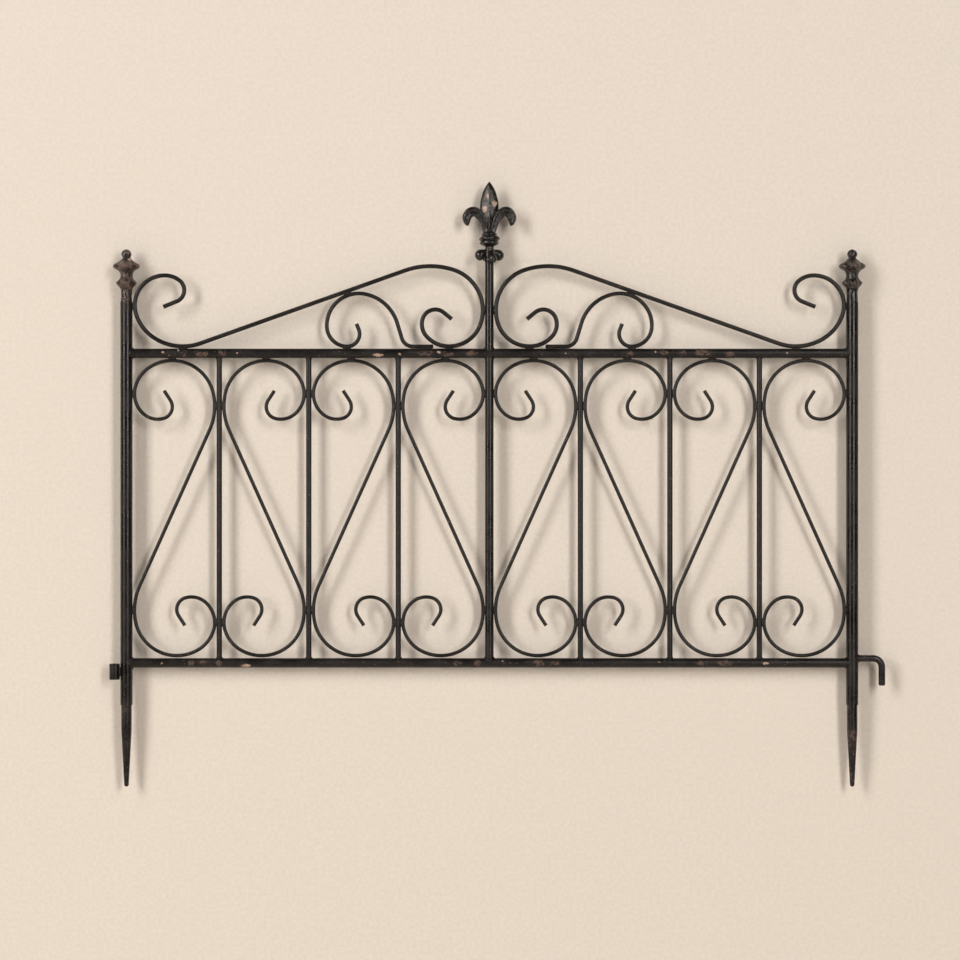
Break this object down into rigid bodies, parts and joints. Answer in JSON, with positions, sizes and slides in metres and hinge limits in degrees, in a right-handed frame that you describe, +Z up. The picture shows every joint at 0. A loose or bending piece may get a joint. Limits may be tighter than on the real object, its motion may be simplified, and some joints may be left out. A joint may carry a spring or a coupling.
{
  "type": "garden border fence panel",
  "caption": "Welded wrought-iron style garden border fence panel with scrollwork, finials, ground spikes, and a hook and socket that link panels.",
  "frame": {"origin": "on the left-hand post's axis at the ground line, where its spike leaves the tube", "axes": "+X along the panel from the socket end to the hook end, +Y through its thickness away from the viewer, +Z up to the finials"},
  "size_m": [0.8146, 0.0302, 0.635],
  "materials": {
    "painted_steel": "satin black paint with scuffs and small chips",
    "painted_casting": "black paint worn to brown on the high spots",
    "painted_weld": "lumpy weld bead under black paint"
  },
  "bodies": {
    "root": {"post_left": "painted_steel", "post_right": "painted_steel", "spike_left": "painted_steel", "spike_right": "painted_steel", "top_rail": "painted_steel", "bottom_rail": "painted_steel", "centre_stake_lower": "painted_steel", "centre_stake_upper": "painted_steel", "baluster_1": "painted_steel", "baluster_2": "painted_steel", "baluster_3": "painted_steel", "baluster_4": "painted_steel", "baluster_5": "painted_steel", "baluster_6": "painted_steel", "field_scroll_1": "painted_steel", "field_scroll_2": "painted_steel", "field_scroll_3": "painted_steel", "field_scroll_4": "painted_steel", "field_scroll_5": "painted_steel", "field_scroll_6": "painted_steel", "field_scroll_7": "painted_steel", "field_scroll_8": "painted_steel", "crest_scroll_left": "painted_steel", "crest_scroll_right": "painted_steel", "foot_scroll_left": "painted_steel", "foot_scroll_right": "painted_steel", "panel_hook": "painted_steel", "hook_socket": "painted_steel", "post_finial_left": "painted_casting", "post_finial_right": "painted_casting", "fleur_de_lis": "painted_casting", "rail_welds": "painted_weld", "stake_welds": "painted_weld", "baluster_welds": "painted_weld", "field_scroll_tacks": "painted_weld", "crest_scroll_tacks": "painted_weld", "hook_weld": "painted_weld", "socket_weld": "painted_weld"}
  },
  "joints": []
}
